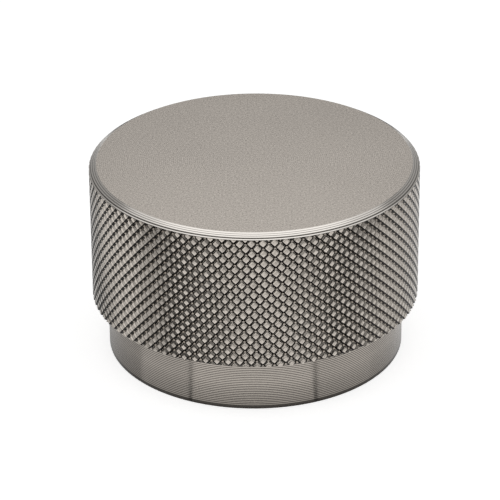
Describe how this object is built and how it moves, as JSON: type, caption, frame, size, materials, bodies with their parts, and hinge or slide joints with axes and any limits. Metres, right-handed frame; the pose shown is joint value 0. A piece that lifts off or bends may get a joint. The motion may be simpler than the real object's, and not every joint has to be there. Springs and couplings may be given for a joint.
{
  "type": "cabinet knob",
  "caption": "Round turned metal knob with a flat top, a diamond-knurled grip and a narrower plain base, fixed from behind by one screw into a tapped hole.",
  "frame": {"origin": "centre of the flat mounting face, on the knob's axis", "axes": "+Z along the knob's axis, from the mounting face up to the flat top"},
  "size_m": [0.04, 0.04, 0.0242],
  "materials": {
    "satin_metal": "fine turned satin, knurled on the grip"
  },
  "bodies": {
    "root": {"knob": "satin_metal"}
  },
  "joints": []
}
